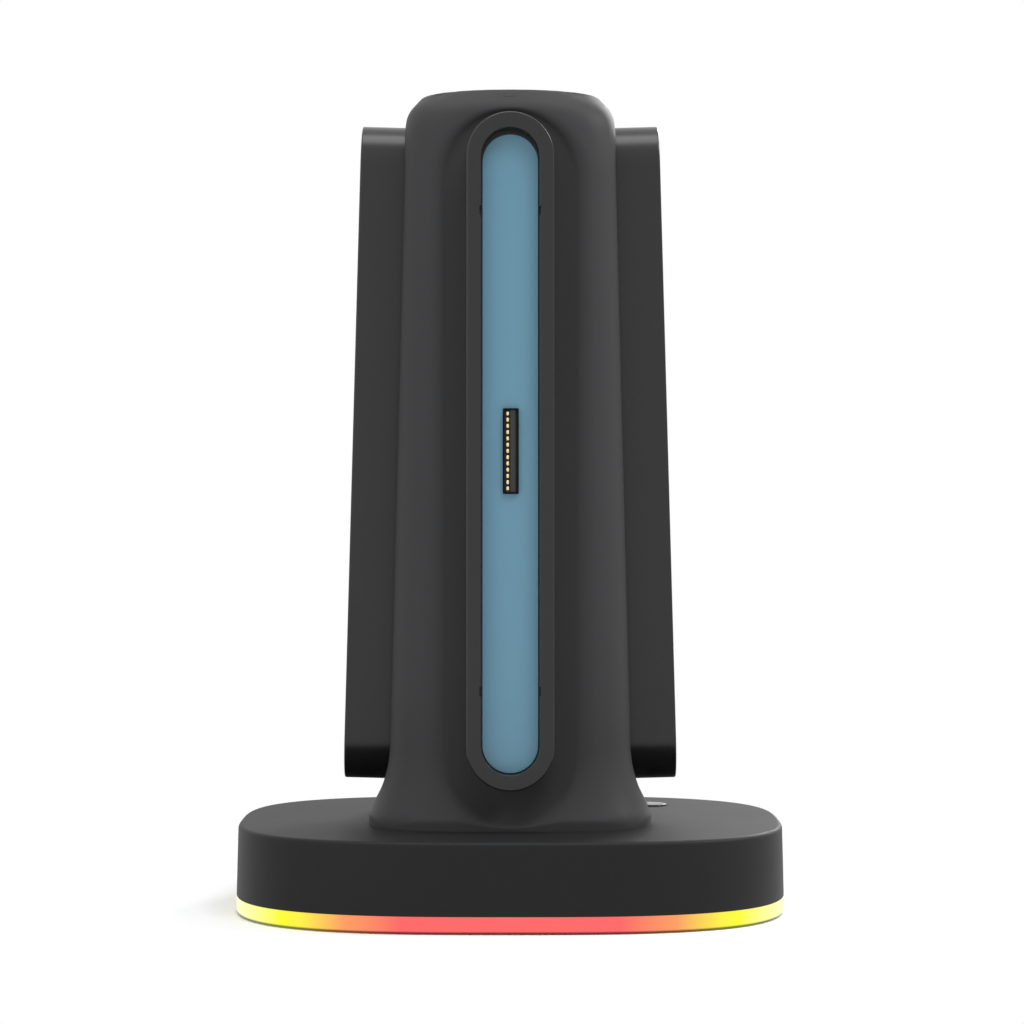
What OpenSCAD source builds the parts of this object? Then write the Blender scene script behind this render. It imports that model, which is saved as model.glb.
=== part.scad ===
// Charging tower for handheld game controllers: four docking stations round a
// flared tower, on a weighted oval base with a lit edge.
// Millimetres, +Z up, front towards -Y, origin on the floor under the tower's axis.

/* [Base] */
// Width of the base at the light ring
base_w = 90; // [86:0.5:110]
// Depth of the base at the light ring
base_d = 81.4; // [78:0.5:104]
// Squareness of the base outline, where 2 is an ellipse
base_squareness = 3; // [2.7:0.1:4]
// Height of the base's top face above the floor
base_top_z = 14.3; // [13.8:0.1:20]
// Draft of the base wall, taken off each side at the top
base_draft = 0.3; // [0:0.05:0.6]
// Radius of the base's upper edge
base_edge_r = 0.7; // [0.3:0.05:1.2]
// Wall thickness of the base housing
base_wall = 2; // [1.6:0.1:2.4]
// Thickness of the base plate
plate_t = 2; // [1.8:0.1:2.6]
// Distance of the base screws from the base's side edges
base_screw_in = 13; // [12:0.5:14]
// Distance of the base screws from the axis, front to back
base_screw_y = 15; // [12:0.5:16]
// Thickness of the steel ballast plate
ballast_t = 3; // [2:0.1:3.4]

/* [Feet] */
// Height by which the feet lift the base
foot_lift = 0.3; // [0.2:0.05:1]
// Radius of a foot
foot_r = 5; // [3.5:0.1:6]
// Depth of a foot's seat in the base plate
foot_seat = 1; // [0.6:0.1:1.2]
// Distance of the feet's middles from the base's side edges
foot_in_x = 21; // [20:0.5:25]
// Distance of the feet's middles from the base's front and rear edges
foot_in_y = 14.2; // [13.7:0.1:15.7]

/* [Light ring] */
// Height of the visible light band
ring_h = 2.5; // [1.8:0.1:3]
// Thickness of the light ring, radially
ring_t = 3; // [2.6:0.1:3.6]
// Height of the lip that the ring holds behind the base wall
ring_lip_h = 1.6; // [1:0.1:2.4]
// Thickness of that lip
ring_lip_t = 0.8; // [0.6:0.1:1]
// Number of lamps behind the ring
lamp_count = 24; // [12:4:32]

/* [Tower] */
// Height of the tower's crown above the floor
tower_h = 133.95; // [125:0.05:150]
// Width of the tower at the middle of the docks
tower_mid_w = 38.6; // [36:0.1:42]
// Squareness of the tower's plan, where 2 is an ellipse
tower_squareness = 4; // [3.4:0.1:5]
// Lean of the tower's walls towards the axis
wall_lean = 1.32; // [1.2:0.02:1.5]
// Spread of the foot beyond the leaning wall, at each side
foot_spread = 2.56; // [2.3:0.02:3.2]
// Angle of the flare above the foot, from upright
flare_angle = 25; // [22:0.5:28]
// Radius of the flare's hollow, as far as the flare has room for it
flare_r = 26; // [12:0.5:30]
// Height of the upright skirt at the foot
skirt_h = 1.6; // [1.2:0.1:2]
// Distance of the crown's edge inside the neck, at each side
crown_in = 3.51; // [3:0.01:4.2]
// Squareness of the crown's plan, where 2 is a circle
crown_squareness = 2.1; // [2:0.1:4]
// Angle of the shoulder under the crown, from upright
shoulder_angle = 37.8; // [35:0.2:45]
// Distance below the crown where the wall begins to draw in
neck_drop = 9.55; // [9:0.05:11]
// Angle of the drawn-in neck, from upright
neck_angle = 10.3; // [8:0.1:12]
// Wall thickness of the tower behind a dock
tower_wall = 2.4; // [2:0.1:2.8]
// Thickness of the tower's floor
tower_floor = 2; // [1.6:0.1:3]

/* [Docks] */
// Width of a docking block
dock_w = 14; // [13.4:0.1:15]
// Distance of a block's upper end below the crown
dock_top_drop = 4.6; // [4.4:0.05:8]
// Height of a block's lower end above the base's top face
dock_bottom_gap = 6.75; // [6.2:0.05:12]
// Distance of a block's face outside the tower's wall
dock_proud = 6.7; // [6.4:0.1:8]
// Lean of the docks towards the axis
dock_lean = 1.59; // [1.4:0.01:1.8]
// Depth of a block's seat inside the tower's wall
dock_seat = 1.3; // [1.1:0.05:1.5]
// Radius of the block's outer edge
dock_edge_r = 0.4; // [0.2:0.05:0.8]
// Side wall of a block round its board space
dock_wall = 1.5; // [1.2:0.1:1.7]
// Width of the docking channel
channel_w = 9.3; // [8.8:0.1:10]
// Rim between the end of the channel and the end of the block
channel_end = 2.55; // [2.1:0.05:4]
// Depth of the docking channel, down to its strip
channel_depth = 3; // [2.6:0.1:3.2]
// Thickness of the blue strip
strip_t = 1; // [0.6:0.1:1.2]
// Gap round the blue strip
strip_gap = 0.22; // [0.1:0.02:0.4]
// Extra gap over the strip's upper end
strip_top_gap = 0.6; // [0.2:0.1:1]
// Thickness of the web under the strip
web_t = 1.2; // [1:0.1:1.4]
// Distance of the side notches from the ends of the channel
notch_in = 13.3; // [10:0.1:20]
// Height of a side notch
notch_h = 1.9; // [1:0.1:3]

/* [Coves] */
// Spread of the dished cove beyond the block, at each side
cove_reach = 4.75; // [3.8:0.05:5.2]
// Distance of the cove's upper end below the crown
cove_top_drop = 3.15; // [2.9:0.05:4]
// Height of the cove's lower end above the base's top face
cove_bottom_gap = 0.74; // [0.5:0.02:2]
// Flat margin between the block and the dish
cove_margin = 0.6; // [0.4:0.1:1]
// Steepness of the dish at its outer edge
cove_angle = 60; // [50:1:70]

/* [Connectors] */
// Width of a connector's frame
plug_w = 2.43; // [2.2:0.01:3]
// Length of a connector's frame
plug_len = 13.6; // [13.4:0.1:15]
// Height of the frame above the strip
plug_proud = 0.8; // [0.3:0.1:1.5]
// Offset of the connector to the right of the channel's middle
plug_shift = 0.08; // [0:0.02:0.3]
// Number of contacts
contact_count = 13; // [5:1:13]
// Spacing of the contacts
contact_pitch = 1; // [0.9:0.05:1]

/* [Mode button] */
// Radius of the button's cap
button_r = 2.9; // [2.4:0.1:3.2]
// Height of the cap above the base
button_proud = 0.35; // [0.2:0.05:0.5]
// Travel of the button
button_travel = 0.5; // [0.2:0.05:0.6]
// Distance of the button's middle to the right of the tower's foot
button_out_x = 0.85; // [0.4:0.05:3]
// Distance of the button's middle in front of the foot's rear side
button_in_y = 1.25; // [0:0.05:1.8]

/* [Indicators] */
// Width of an indicator window
window_w = 2.3; // [1.6:0.1:3]
// Height of an indicator window
window_h = 0.8; // [0.5:0.1:1.2]
// Distance of the windows below the crown
window_drop = 1; // [0.9:0.1:1.4]

/* [Hidden] */

// Sides of the tower, as quarter turns from the front
FRONT = 0;
RIGHT = 1;
REAR = 2;
LEFT = 3;
SIDES = [FRONT, RIGHT, REAR, LEFT];

// Colours
MATTE_BLACK = [0.17, 0.17, 0.175];
DARK_GREY = [0.25, 0.25, 0.26];
DOCK_BLUE = [0.41, 0.57, 0.65];
GOLD = [0.86, 0.78, 0.55];
STEEL = [0.72, 0.73, 0.75];
BOARD_GREEN = [0.1, 0.33, 0.2];
RUBBER = [0.12, 0.12, 0.12];
LIGHT = [1, 0.55, 0.35];
LAMP = [0.95, 0.93, 0.85];
CABLE = [0.2, 0.2, 0.22];

// Running gap of the button, easy gap of a piece in its opening, and gap of a screw in its hole
run_gap = 0.08;
fit_gap = 0.06;
screw_gap = 0.05;

// Facets of true rounds, and steps of the freeform outlines
$fn = 48;
base_steps = 96;
tower_steps = 64;
cove_steps = 20;
dish_steps = 4;
edge_steps = 3;

// Heights of the docks, slopes of docks and walls, and the walls' half width where they lean
dock_bottom_z = base_top_z + dock_bottom_gap;
dock_top_z = tower_h - dock_top_drop;
dock_mid_z = (dock_bottom_z + dock_top_z) / 2;
dock_slope = tan(dock_lean);
wall_slope = tan(wall_lean);
skirt_r = 1.2;
neck_r = 30;
shoulder_r = 1.2;
crown_r = 0.7;
function wall_half(z) = tower_mid_w / 2 + (dock_mid_z - z) * wall_slope;

// Half widths of the tower's foot and crown, heights of its neck and shoulder, and the
// squareness of its plan, which runs from the wall's to the crown's over the shoulder
neck_z = tower_h - neck_drop;
foot_half = wall_half(base_top_z) + foot_spread;
crown_half = wall_half(neck_z) - crown_in;
neck_slope = tan(neck_angle);
shoulder_slope = tan(shoulder_angle);
shoulder_rise = crown_half + tower_h * shoulder_slope - wall_half(neck_z) - neck_z * neck_slope;
shoulder_z = shoulder_rise / (shoulder_slope - neck_slope);
function plan_squareness(z) =
    let (share = max(0, (z - shoulder_z) / (tower_h - shoulder_z)))
    tower_squareness + share * (crown_squareness - tower_squareness);

// Heights inside the base
plate_top = foot_lift + plate_t;
ring_top = foot_lift + ring_h;
ceiling_z = base_top_z - base_wall;
board_gap = 1.1;
board_t = 1.2;
board_z = plate_top + ballast_t + board_gap;
board_top = board_z + board_t;
light_board_t = 1;
light_board_w = 3.4;
light_board_in = ring_t + 1.2;
lamp_size = [1.6, 0.9];
inner_gap = 0.3;

// Half sizes of the space inside the base wall
inside_a = base_w / 2 - base_wall - base_draft;
inside_b = base_d / 2 - base_wall - base_draft;

// Screws: core radius, head radius and head height
base_screw = [1.25, 2.4, 1.2];
board_screw = [1, 1.8, 1];
tower_screw = [1.25, 2.2, 1.2];
dock_screw = [0.8, 1.5, 0.9];
boss_r = 3;
post_r = 2.4;
tower_boss_r = 2.8;
tower_boss_h = 9;
wire_hole_r = 6;

// Places in the base, from its edges and from the tower's foot
base_screw_x = base_w / 2 - base_screw_in;
foot_x = base_w / 2 - foot_in_x;
foot_y = base_d / 2 - foot_in_y;
button_x = foot_half + button_out_x;
button_y = foot_half - button_in_y;
switch_size = 4.5;
switch_gap = 1.95;
post_in = 10;
post_x = base_screw_x - post_in;
post_y = button_y - switch_size / 2 - board_screw[1] - switch_gap;

// Docking block, its channel and the space behind the channel
dock_len = dock_top_z - dock_bottom_z;
dock_reach = tower_mid_w / 2 + dock_proud;
dock_depth = dock_proud + dock_seat;
dock_inner_w = dock_w - 2 * dock_wall;
dock_inner_len = dock_len - 2 * dock_wall;
channel_len = dock_len - 2 * channel_end;
notch_v = channel_len / 2 - notch_in;
notch_depth = 0.6;
notch_drop = 0.8;

// Cove round the block
cove_w = dock_w + 2 * cove_reach;
cove_top_z = tower_h - cove_top_drop;
cove_bottom_z = base_top_z + cove_bottom_gap;
cove_wall_slope = 5;

// Depths below a block's face
strip_bottom = channel_depth + strip_t;
web_bottom = strip_bottom + web_t;
dock_board_t = 1;
rib_h = 1;
dock_board_top = web_bottom + rib_h;
magnet_t = 1.5;
magnet_side_gap = 2;
magnet_len = 12;
magnet_in = 8.2;
magnet_w = dock_inner_w - 2 * magnet_side_gap;
magnet_v = dock_inner_len / 2 - magnet_in;
dock_board_side_gap = 0.2;
dock_board_out = 12;
dock_board_w = dock_inner_w - 2 * dock_board_side_gap;
dock_board_len = plug_len + 2 * dock_board_out;
dock_boss_r = 2;
dock_boss_gap = 0.5;
dock_screw_out = 3.5;
dock_screw_u = dock_inner_w / 2 - dock_boss_r - dock_boss_gap;
dock_screw_v = dock_board_len / 2 + dock_screw_out;
rib_in = 6;
rib_t = 1.2;
rib_v = dock_board_len / 2 - rib_in;
wire_window = [5, 16];

// Space inside the tower: half width at height z, roof, and what stands in it
function space_half(z) =
    tower_mid_w / 2 + (dock_mid_z - z) * dock_slope - dock_seat - tower_wall;
crown_t = 3.2;
space_r = 5;
tower_boss_in = 2.1;
tower_boss_xy = space_half(base_top_z) - tower_boss_r - tower_boss_in;
window_z = tower_h - window_drop;
window_t = 4.4;
window_bore = 7;
indicator_drop = 6.2;
indicator_in = 5.64;
indicator_post_in = 3;
indicator_board_z = tower_h - indicator_drop;
indicator_board_t = 1;
indicator_board_half = space_half(indicator_board_z) - indicator_in;
indicator_post_xy = indicator_board_half - indicator_post_in;
indicator_post_r = 1.2;
indicator_post_rise = 2;
wire_trunk_r = 1.4;
wire_branch_r = 0.8;
wire_gap = 0.12;

// Connector details
plug_floor = strip_bottom + 0.6;
tongue_w = 0.87;
tongue_u = 0.44;
contact_size = [0.53, 0.7];
contact_u = -0.4;
plug_rim = 0.18;

// Button details
button_flange_r = button_r + 0.8;
button_flange_t = 0.7;
button_flange_top = ceiling_z - 0.15;
button_flange_z = button_flange_top - button_flange_t;
plunger_r = 1.2;
plunger_depth = 1;
switch_top = button_flange_z - button_travel - 0.15;

// Power inlet: mouth width, mouth height, shell length and shell wall
inlet_size = [8.94, 3.2];
inlet_len = 7.4;
inlet_wall = 0.3;
inlet_z = board_top + inlet_size[1] / 2;
inlet_set_back = 0.4;
inlet_back = 1;
inlet_mouth_y = base_d / 2 - base_draft - inlet_set_back;
inlet_tongue_size = [6.6, 0.7];
inlet_tongue_in = 0.6;

// Plane vector helpers
function unit(v) = v / norm(v);
function spin(v, t) = [v[0] * cos(t) - v[1] * sin(t), v[0] * sin(t) + v[1] * cos(t)];

// Points of a rounded corner at b, between its neighbours a and c, with radius r
function corner(a, b, c, r, steps) =
    let (
        u = unit(a - b),
        v = unit(c - b),
        half = acos(u * v) / 2,
        centre = b + unit(u + v) * r / sin(half),
        start = b + u * r / tan(half) - centre,
        side = u[0] * v[1] - u[1] * v[0] > 0 ? -1 : 1
    )
    [for (i = [0:steps]) centre + spin(start, side * (180 - 2 * half) * i / steps)];

// Superellipse with half sizes a and b, as evenly turned points
function squircle(a, b, n, steps) = [
    for (i = [0:steps - 1])
        let (t = 360 * i / steps)
        pow(pow(abs(cos(t)) / a, n) + pow(abs(sin(t)) / b, n), -1 / n) * [cos(t), sin(t)]
];

// Skin through rings of [half size a, half size b, height, squareness]
module loft(rings, steps) {
    last = len(rings) - 1;
    points = [for (r = rings) for (p = squircle(r[0], r[1], r[3], steps)) [p[0], p[1], r[2]]];
    sides = [
        for (k = [0:last - 1]) for (i = [0:steps - 1])
            let (j = (i + 1) % steps, low = k * steps, high = low + steps)
            each [[low + i, high + i, high + j], [low + i, high + j, low + j]]
    ];
    bottom = [for (i = [0:steps - 1]) i];
    top = [for (i = [0:steps - 1]) (last + 1) * steps - 1 - i];
    polyhedron(points = points, faces = concat([bottom, top], sides), convexity = 6);
}

// Slot outline with full round ends, its length along Y
module stadium(w, len) {
    square([w, len - w], center = true);
    for (end = [-1, 1]) translate([0, end * (len - w) / 2]) circle(d = w);
}

// Slab with a slot outline, from height z0 to z1
module slot_slab(w, len, z0, z1) {
    translate([0, 0, z0]) linear_extrude(z1 - z0) stadium(w, len);
}

// Block centred on X and Y, from height z0 to z1
module slab(w, len, z0, z1) {
    translate([-w / 2, -len / 2, z0]) cube([w, len, z1 - z0]);
}

// Plate with the base's outline, its half sizes given, from height z0 to z1
module oval_plate(a, b, z0, z1) {
    translate([0, 0, z0]) linear_extrude(z1 - z0)
        polygon(squircle(a, b, base_squareness, base_steps));
}

// Copies at the four corners of a rectangle of half sizes x and y
module at_corners(x, y) {
    for (sx = [-1, 1], sy = [-1, 1]) translate([sx * x, sy * y, 0]) children();
}

// Frame of one docking station: X across the block, Y up it, Z out of its face,
// with the face's middle at the origin
module at_station(side) {
    rotate([0, 0, 90 * side]) translate([0, -dock_reach, dock_mid_z])
        rotate([90 - dock_lean, 0, 0]) children();
}

// Screw with a round head under z = 0 and its core upwards
module screw(size, core) {
    translate([0, 0, -size[2]]) cylinder(r = size[1], h = size[2]);
    cylinder(r = size[0], h = core);
}

// Base

// Wall line of the base, as [inset, height] from the ring up to the top face
function base_profile() = concat(
    [[0, ring_top]],
    corner([0, ring_top], [base_draft, base_top_z], [base_w / 4, base_top_z], base_edge_r, 4)
);

module base_housing() {
    core = base_screw[0] + screw_gap;
    color(MATTE_BLACK) difference() {
        union() {
            difference() {
                loft([for (p = base_profile())
                    [base_w / 2 - p[0], base_d / 2 - p[0], p[1], base_squareness]], base_steps);
                oval_plate(inside_a, inside_b, ring_top - 1, ceiling_z);
            }
            at_corners(base_screw_x, base_screw_y)
                translate([0, 0, plate_top]) cylinder(r = boss_r, h = ceiling_z - plate_top);
        }
        at_corners(base_screw_x, base_screw_y)
            translate([0, 0, plate_top - 1]) cylinder(r = core, h = ceiling_z - plate_top);
        at_corners(tower_boss_xy, tower_boss_xy)
            translate([0, 0, ceiling_z - 1])
                cylinder(r = tower_screw[0] + screw_gap, h = base_wall + 2);
        translate([0, 0, ceiling_z - 1]) cylinder(r = wire_hole_r, h = base_wall + 2);
        translate([button_x, button_y, ceiling_z - 1])
            cylinder(r = button_r + run_gap, h = base_wall + 2);
        inlet_opening();
    }
}

// Mouth of the power inlet through the rear wall
module inlet_opening() {
    w = inlet_size[0] + 2 * fit_gap;
    h = inlet_size[1] + 2 * fit_gap;
    translate([0, base_d / 2 + 1, inlet_z]) rotate([90, 0, 0])
        linear_extrude(base_wall + base_draft + 3) rotate(90) stadium(h, w);
}

module light_ring() {
    a = base_w / 2;
    b = base_d / 2;
    lip_a = inside_a - inner_gap / 2;
    lip_b = inside_b - inner_gap / 2;
    color(LIGHT) union() {
        difference() {
            oval_plate(a, b, foot_lift, ring_top);
            oval_plate(a - ring_t, b - ring_t, foot_lift - 1, ring_top + 1);
        }
        difference() {
            oval_plate(lip_a, lip_b, ring_top, ring_top + ring_lip_h);
            oval_plate(lip_a - ring_lip_t, lip_b - ring_lip_t, ring_top - 1, ring_top + ring_lip_h + 1);
        }
    }
}

module base_plate() {
    a = base_w / 2 - ring_t - fit_gap;
    b = base_d / 2 - ring_t - fit_gap;
    color(MATTE_BLACK) difference() {
        union() {
            oval_plate(a, b, foot_lift, plate_top);
            at_corners(post_x, post_y)
                translate([0, 0, plate_top]) cylinder(r = post_r, h = board_z - plate_top);
        }
        at_corners(foot_x, foot_y)
            translate([0, 0, foot_lift - 1]) cylinder(r = foot_r + fit_gap, h = foot_seat + 1);
        at_corners(base_screw_x, base_screw_y) {
            translate([0, 0, foot_lift - 1])
                cylinder(r = base_screw[1] + screw_gap, h = base_screw[2] + 1.1);
            translate([0, 0, foot_lift]) cylinder(r = base_screw[0] + screw_gap, h = plate_t + 1);
        }
        at_corners(post_x, post_y)
            translate([0, 0, foot_lift + 1]) cylinder(r = board_screw[0] + screw_gap, h = board_z);
    }
}

module rubber_feet() {
    color(RUBBER) at_corners(foot_x, foot_y) cylinder(r = foot_r, h = foot_lift + foot_seat);
}

module base_screws() {
    head_top = foot_lift + 0.1 + base_screw[2];
    color(STEEL) at_corners(base_screw_x, base_screw_y)
        translate([0, 0, head_top]) screw(base_screw, plate_t + 4);
}

module ballast_plate() {
    w = 2 * (post_x - post_r - inner_gap);
    color(STEEL) slab(w, w + 4, plate_top, plate_top + ballast_t);
}

module main_board() {
    color(BOARD_GREEN) difference() {
        oval_plate(inside_a - 1, inside_b - 1, board_z, board_top);
        at_corners(base_screw_x, base_screw_y)
            translate([0, 0, board_z - 1]) cylinder(r = boss_r + inner_gap, h = board_t + 2);
        at_corners(post_x, post_y)
            translate([0, 0, board_z - 1]) cylinder(r = board_screw[0] + screw_gap, h = board_t + 2);
    }
}

// Chips, coils and sockets on the main board, as [x, y, width, depth, height]
board_layout = [
    [0, 22, 7, 7, 1.2], [-12, 24, 6, 6, 2.4], [12, 27, 5, 5, 1.8], [6 - post_x, 4, 8, 6, 1.4],
    [post_x - 6, 4, 8, 6, 1.4], [0, -12, 9, 9, 1.6], [8 - post_x, -post_y - 4, 10, 3, 2.4],
    [post_x - 8, -post_y - 4, 10, 3, 2.4], [0, 13, 12, 3, 2.4]
];

module board_parts() {
    color(DARK_GREY) for (p = board_layout)
        translate([p[0], p[1], 0]) slab(p[2], p[3], board_top, board_top + p[4]);
}

module board_screws() {
    color(STEEL) at_corners(post_x, post_y)
        translate([0, 0, board_top]) mirror([0, 0, 1]) screw(board_screw, board_t + 3);
}

module light_board() {
    a = base_w / 2 - light_board_in;
    b = base_d / 2 - light_board_in;
    color(BOARD_GREEN) difference() {
        oval_plate(a, b, plate_top, plate_top + light_board_t);
        oval_plate(a - light_board_w, b - light_board_w, plate_top - 1, plate_top + light_board_t + 1);
    }
}

module ring_lamps() {
    a = base_w / 2 - light_board_in - light_board_w / 2;
    b = base_d / 2 - light_board_in - light_board_w / 2;
    spots = squircle(a, b, base_squareness, lamp_count);
    low = plate_top + light_board_t;
    color(LAMP) for (i = [0:lamp_count - 1])
        translate([spots[i][0], spots[i][1], 0]) rotate(360 * i / lamp_count)
            slab(lamp_size[0], lamp_size[0], low, low + lamp_size[1]);
}

module power_inlet() {
    color(STEEL) translate([0, inlet_mouth_y, inlet_z]) rotate([90, 0, 0]) difference() {
        linear_extrude(inlet_len) rotate(90) stadium(inlet_size[1], inlet_size[0]);
        translate([0, 0, -1]) linear_extrude(inlet_len - inlet_back + 1)
            rotate(90) stadium(inlet_size[1] - 2 * inlet_wall, inlet_size[0] - 2 * inlet_wall);
    }
}

module inlet_tongue() {
    w = inlet_tongue_size[0];
    t = inlet_tongue_size[1];
    color(DARK_GREY) translate([-w / 2, inlet_mouth_y - inlet_len + inlet_back, inlet_z - t / 2])
        cube([w, inlet_len - inlet_back - inlet_tongue_in, t]);
}

module mode_button() {
    color(MATTE_BLACK) translate([button_x, button_y, 0]) {
        translate([0, 0, button_flange_z]) cylinder(r = button_flange_r, h = button_flange_t);
        translate([0, 0, button_flange_top])
            cylinder(r = button_r, h = base_top_z + button_proud - button_flange_top);
    }
}

module switch_plunger() {
    low = switch_top - plunger_depth;
    color(DARK_GREY) translate([button_x, button_y, low])
        cylinder(r = plunger_r, h = button_flange_z - low);
}

module mode_switch() {
    well = plunger_depth + button_travel + 0.15;
    color(STEEL) translate([button_x, button_y, 0]) difference() {
        slab(switch_size, switch_size, board_top, switch_top);
        translate([0, 0, switch_top - well]) cylinder(r = plunger_r + run_gap, h = well + 1);
    }
}

// Tower

// Wall line of the tower, as [half width, height] from its foot up to the crown
function tower_profile() =
    let (
        skirt_z = base_top_z + skirt_h,
        flare = tan(flare_angle),
        bend_z = (foot_half + skirt_z * flare - wall_half(0)) / (flare - wall_slope),
        p0 = [foot_half, base_top_z],
        p1 = [foot_half, skirt_z],
        p2 = [wall_half(bend_z), bend_z],
        p3 = [wall_half(neck_z), neck_z],
        p4 = [wall_half(neck_z) - (shoulder_z - neck_z) * neck_slope, shoulder_z],
        p5 = [crown_half, tower_h],
        p6 = [0, tower_h],
        room = norm(p2 - p1) - skirt_r * tan(flare_angle / 2),
        bend_r = min(flare_r, 0.98 * room / tan((flare_angle - wall_lean) / 2))
    )
    concat(
        [p0], corner(p0, p1, p2, skirt_r, 2), corner(p1, p2, p3, bend_r, 6),
        corner(p2, p3, p4, neck_r, 2), corner(p3, p4, p5, shoulder_r, 3),
        corner(p4, p5, p6, crown_r, 4)
    );

// Spread of the dish at height h above the seat: an elliptic curve up to the given depth,
// and a steep wall from there on
function dish_spread(h, depth, spread) =
    h < depth
        ? spread * sin(acos(1 - h / depth * (1 - cos(cove_angle)))) / sin(cove_angle)
        : spread + (h - depth) / cove_wall_slope;

// Dish round a block, cut as slices that widen from the flat seat, deeper at the flared foot
module cove_cutter() {
    n = tower_squareness;
    edge_drop = tower_mid_w / 2 * (1 - pow(1 - pow(cove_w / tower_mid_w, n), 1 / n));
    lean_drop = dock_len / 2 * (dock_slope - wall_slope);
    side_depth = max(dock_seat - edge_drop - lean_drop, 0.2);
    foot_depth = dock_seat + foot_spread;
    seat_w = dock_w + 2 * cove_margin;
    seat_low = dock_bottom_z - cove_margin;
    seat_high = dock_top_z + cove_margin;
    top_spread = max(cove_top_z - seat_high, 0.2);
    reach_out = 6;
    heights = concat(
        [for (k = [0:dish_steps])
            side_depth * (1 - cos(cove_angle * k / dish_steps)) / (1 - cos(cove_angle))],
        [for (k = [1:dish_steps]) side_depth + (foot_depth - side_depth) * k / dish_steps],
        [foot_depth + reach_out]
    );
    slices = [
        for (h = heights)
            let (
                side = dish_spread(h, side_depth, cove_reach - cove_margin),
                low = seat_low - dish_spread(h, foot_depth, seat_low - cove_bottom_z),
                high = seat_high + dish_spread(h, side_depth, top_spread)
            )
            [seat_w + 2 * side, high - low, (high + low) / 2 - dock_mid_z, h]
    ];
    for (k = [1:len(slices) - 1]) hull() for (s = [slices[k - 1], slices[k]])
        translate([0, s[2], s[3] - dock_depth]) linear_extrude(0.001)
            stadium(s[0], s[1], $fn = 2 * cove_steps);
}

// Space inside the tower, a tapered square with round corners
module tower_space() {
    hull() for (z = [base_top_z + tower_floor, tower_h - crown_t]) {
        at = space_half(z) - space_r;
        at_corners(at, at) translate([0, 0, z]) cylinder(r = space_r, h = 0.001, $fn = 24);
    }
}

// Place of an indicator window: Z out of the shoulder, X along it
module at_window(side) {
    half = crown_half + window_drop * shoulder_slope;
    rotate([0, 0, 90 * side]) translate([0, -half, window_z])
        rotate([90 - shoulder_angle, 0, 0]) children();
}

module tower_body() {
    difference() {
        loft([for (p = tower_profile()) [p[0], p[0], p[1], plan_squareness(p[1])]], tower_steps);
        difference() {
            tower_space();
            at_corners(tower_boss_xy, tower_boss_xy)
                translate([0, 0, base_top_z]) cylinder(r = tower_boss_r, h = tower_boss_h, $fn = 24);
            at_corners(indicator_post_xy, indicator_post_xy)
                translate([0, 0, indicator_board_z + indicator_board_t])
                    cylinder(r = indicator_post_r, h = crown_t + indicator_post_rise, $fn = 16);
        }
        for (side = SIDES) {
            at_station(side) cove_cutter();
            at_station(side) {
                slab(wire_window[0], wire_window[1], -dock_depth - tower_wall - 2, 0);
                for (end = [-1, 1]) translate([end * dock_screw_u, end * dock_screw_v, 0])
                    translate([0, 0, -dock_depth - tower_wall - 2])
                        cylinder(r = dock_screw[0] + screw_gap, h = tower_wall + 4, $fn = 24);
            }
            at_window(side) window_slot(screw_gap, -window_bore, 2);
        }
        at_corners(tower_boss_xy, tower_boss_xy)
            translate([0, 0, base_top_z - 1])
                cylinder(r = tower_screw[0] + screw_gap, h = tower_boss_h, $fn = 24);
        translate([0, 0, base_top_z - 1]) cylinder(r = wire_hole_r, h = tower_floor + 2);
    }
}

// Window outline along the shoulder, wider by a gap all round, from depth z0 to z1
module window_slot(gap, z0, z1) {
    rotate(90) slot_slab(window_h + 2 * gap, window_w + 2 * gap, z0, z1);
}

// Half of the tower, in front of the seam or behind it
module tower_half(side) {
    reach = 2 * foot_half;
    intersection() {
        tower_body();
        translate([-reach, side == FRONT ? -reach : 0, 0]) cube([2 * reach, reach, tower_h + 1]);
    }
}

module tower_front_shell() {
    color(MATTE_BLACK) tower_half(FRONT);
}

module tower_rear_shell() {
    color(MATTE_BLACK) tower_half(REAR);
}

module tower_screws() {
    color(STEEL) at_corners(tower_boss_xy, tower_boss_xy)
        translate([0, 0, ceiling_z]) screw(tower_screw, base_wall + tower_boss_h - 2);
}

module dock_screws() {
    head_z = -dock_depth - tower_wall;
    core = tower_wall + dock_depth - web_bottom - 0.4;
    color(STEEL) for (side = SIDES, end = [-1, 1]) at_station(side)
        translate([end * dock_screw_u, end * dock_screw_v, head_z]) screw(dock_screw, core);
}

module indicator_windows() {
    color(DARK_GREY) for (side = SIDES) at_window(side) window_slot(0, -window_t, 0);
}

module indicator_board() {
    w = 2 * indicator_board_half;
    color(BOARD_GREEN) slab(w, w, indicator_board_z, indicator_board_z + indicator_board_t);
}

module indicator_lamps() {
    low = indicator_board_z + indicator_board_t;
    color(LAMP) for (side = SIDES) rotate([0, 0, 90 * side])
        translate([0, lamp_size[0] / 2 - indicator_board_half, 0])
            slab(lamp_size[0], lamp_size[0] / 2, low, low + 0.6);
}

module wire_harness() {
    color(CABLE) union() {
        translate([0, 0, board_top]) cylinder(r = wire_trunk_r, h = indicator_board_z - board_top);
        for (side = SIDES) rotate([0, 0, 90 * side])
            translate([0, 0, dock_mid_z]) rotate([90, 0, 0])
                cylinder(r = wire_branch_r, h = dock_reach - dock_board_top - dock_board_t - wire_gap);
    }
}

// Docking stations

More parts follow.
